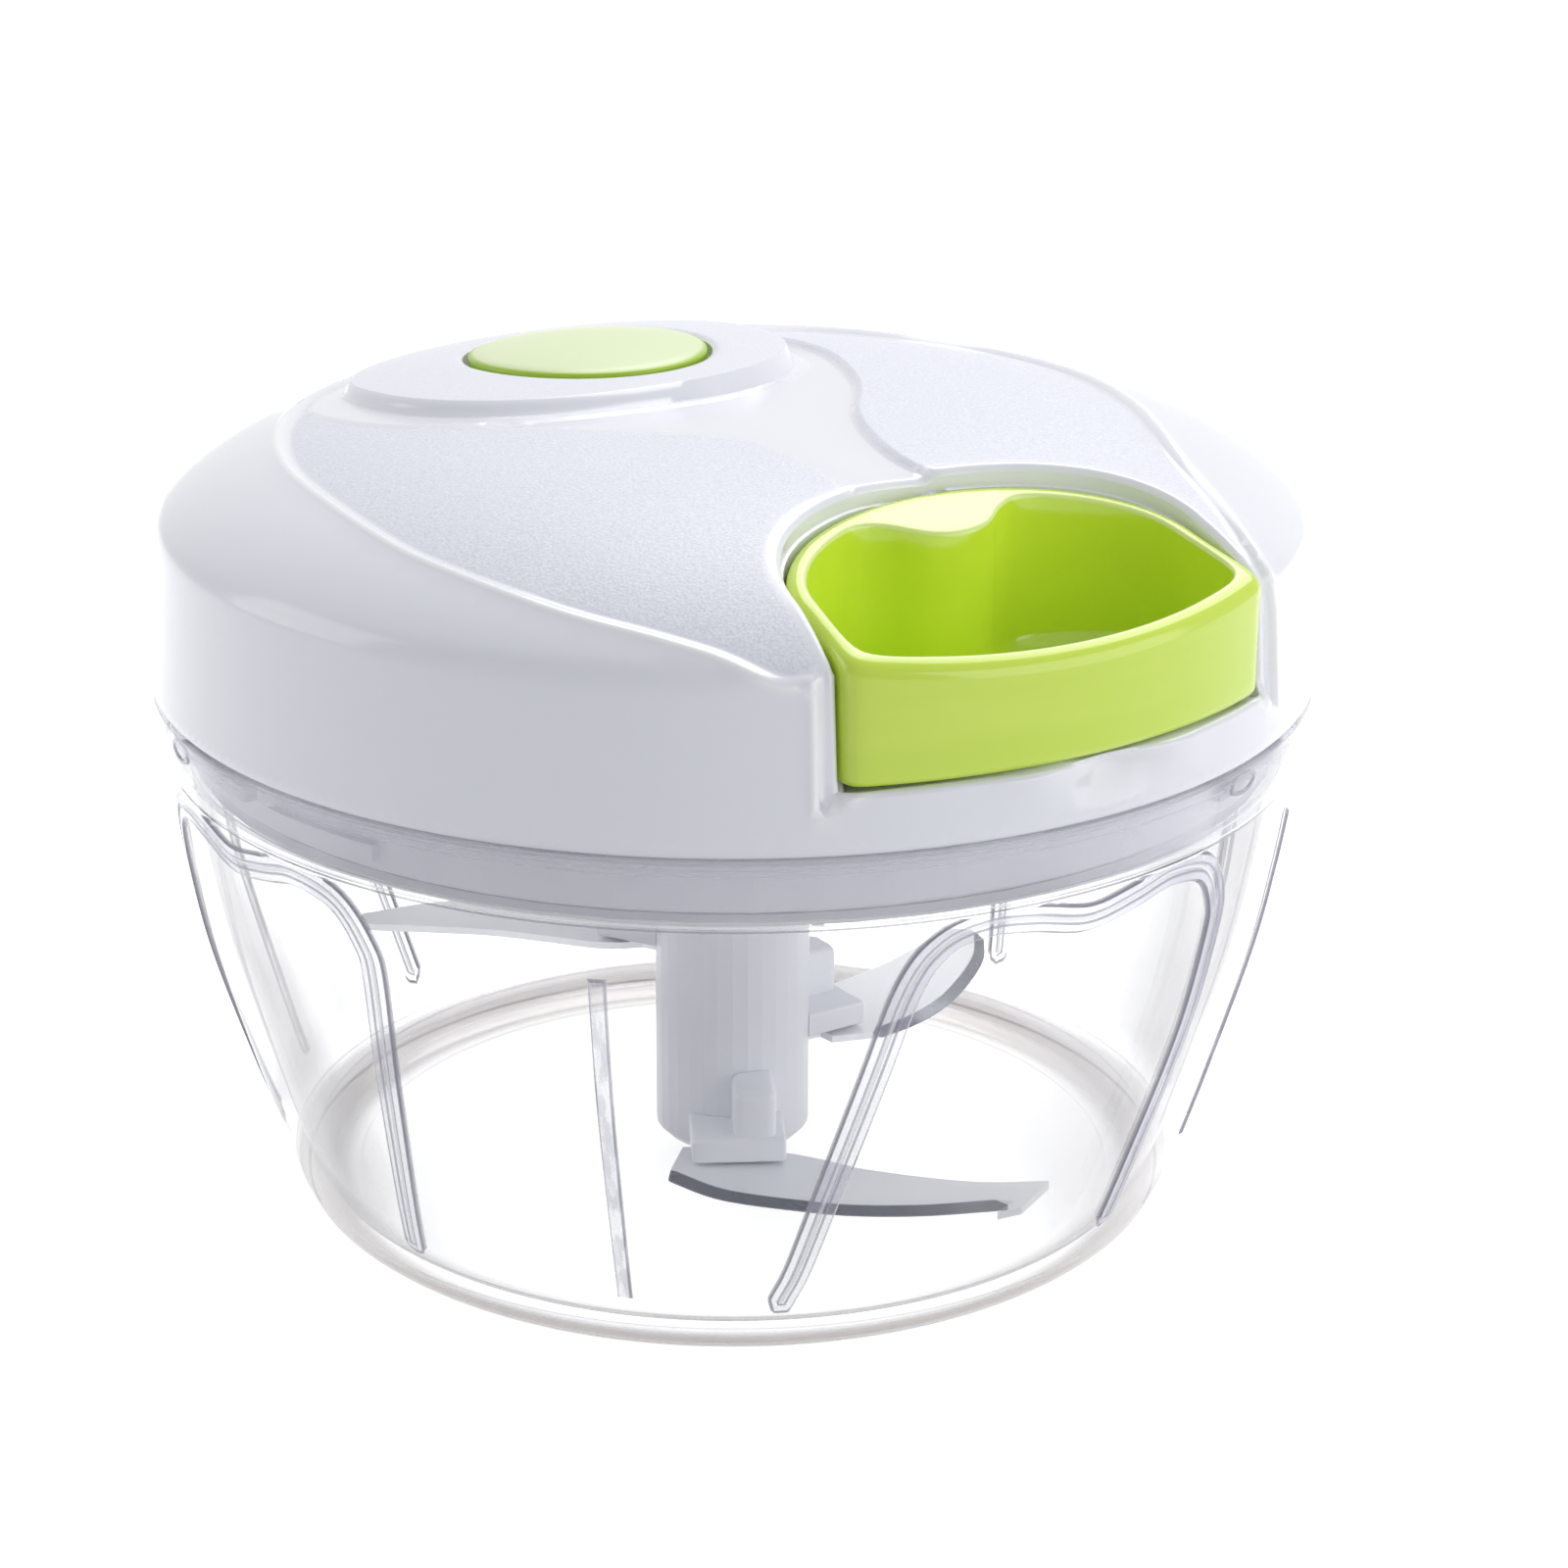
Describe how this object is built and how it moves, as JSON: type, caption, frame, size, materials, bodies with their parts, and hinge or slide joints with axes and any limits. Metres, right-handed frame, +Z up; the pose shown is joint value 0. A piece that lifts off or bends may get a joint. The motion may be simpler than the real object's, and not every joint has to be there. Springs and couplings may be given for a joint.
{
  "type": "manual food chopper",
  "caption": "Pull cord food chopper: clear tapered bowl, white domed lid with lime pull handle and brake button, three curved blades on a white shaft.",
  "frame": {"origin": "centre of the bowl's foot, on the surface it stands on", "axes": "+Z up along the blade shaft, pull handle towards -Y"},
  "size_m": [0.1248, 0.1248, 0.09],
  "materials": {
    "clear_bowl": "clear polished",
    "white_shell": "satin",
    "lime": "gloss",
    "pale_lime": "satin",
    "steel": "bright",
    "brass": "satin",
    "nylon": "matte",
    "grey_abs": "matte",
    "silicone": "matte",
    "rubber": "matte",
    "cord": "matte"
  },
  "bodies": {
    "bowl": {"bowl": "clear_bowl", "bowl_pivot_pin": "steel"},
    "seal": {"seal_ring": "silicone"},
    "lid": {"lid_top_cover": "white_shell", "lid_base": "white_shell", "cord_eyelet": "steel", "drive_bush": "brass", "centre_axle": "steel", "reel_housing": "grey_abs", "housing_cover": "grey_abs", "housing_screw_1": "steel", "housing_screw_2": "steel", "housing_screw_3": "steel", "lid_screw_1": "steel", "lid_screw_2": "steel", "lid_screw_3": "steel", "rewind_spring": "steel"},
    "handle": {"pull_handle": "lime", "cord_knot": "cord", "pull_cord_lead": "cord"},
    "reel": {"cord_reel": "nylon", "reel_top_flange": "nylon", "pull_cord_winding": "cord", "pawl_pin_a": "steel", "pawl_pin_b": "steel"},
    "pawl_left": {"pawl_a": "nylon"},
    "pawl_right": {"pawl_b": "nylon"},
    "drive": {"drive_hub": "nylon"},
    "blades": {"blade_shaft": "white_shell", "shaft_bush": "nylon", "lower_blade": "steel", "middle_blade": "steel", "upper_blade": "steel", "lower_blade_clip": "white_shell", "middle_blade_clip": "white_shell", "upper_blade_clip": "white_shell"},
    "button": {"brake_button": "pale_lime", "brake_pad": "rubber", "button_retaining_clip": "steel", "button_spring": "steel"}
  },
  "joints": [
    {"name": "lid_lift", "type": "slide", "parent": "bowl", "child": "seal", "axis": [0, 0, 1], "range_m": [0, 0.08]},
    {"name": "lid_turn", "type": "hinge", "parent": "seal", "child": "lid", "pos_m": [0, 0, 0.055], "axis": [0, 0, 1], "range_deg": [-17, 0]},
    {"name": "handle_pull", "type": "slide", "parent": "lid", "child": "handle", "axis": [0, -1, 0], "range_m": [0, 0.36], "stiffness_N_per_m": 12, "springref_m": -0.1, "deforming": ["pull_cord_lead"]},
    {"name": "reel_spin", "type": "hinge", "parent": "lid", "child": "reel", "pos_m": [0, 0, 0.07], "axis": [0, 0, 1], "range_deg": [-1581, 0]},
    {"name": "drive_spin", "type": "hinge", "parent": "lid", "child": "drive", "pos_m": [0, 0, 0.055], "axis": [0, 0, 1], "range_deg": [-1581, 0]},
    {"name": "blade_spin", "type": "hinge", "parent": "bowl", "child": "blades", "pos_m": [0, 0, 0.03], "axis": [0, 0, 1], "range_deg": [-1581, 0]},
    {"name": "pawl_a_rock", "type": "hinge", "parent": "reel", "child": "pawl_left", "pos_m": [0, -0.009, 0.058], "axis": [0, 0, 1], "range_deg": [-12, 0]},
    {"name": "pawl_b_rock", "type": "hinge", "parent": "reel", "child": "pawl_right", "pos_m": [0, 0.009, 0.058], "axis": [0, 0, 1], "range_deg": [-12, 0]},
    {"name": "button_press", "type": "slide", "parent": "lid", "child": "button", "axis": [0, 0, -1], "range_m": [0, 0.002], "stiffness_N_per_m": 400, "springref_m": -0.002, "deforming": ["button_spring"]}
  ],
  "couplings": [
    {"joint": "reel_spin", "follows": "handle_pull", "rad_per_m": -76.336},
    {"joint": "drive_spin", "follows": "handle_pull", "rad_per_m": -76.336},
    {"joint": "blade_spin", "follows": "handle_pull", "rad_per_m": -76.336},
    {"joint": "pawl_b_rock", "follows": "pawl_a_rock", "ratio": 1}
  ]
}
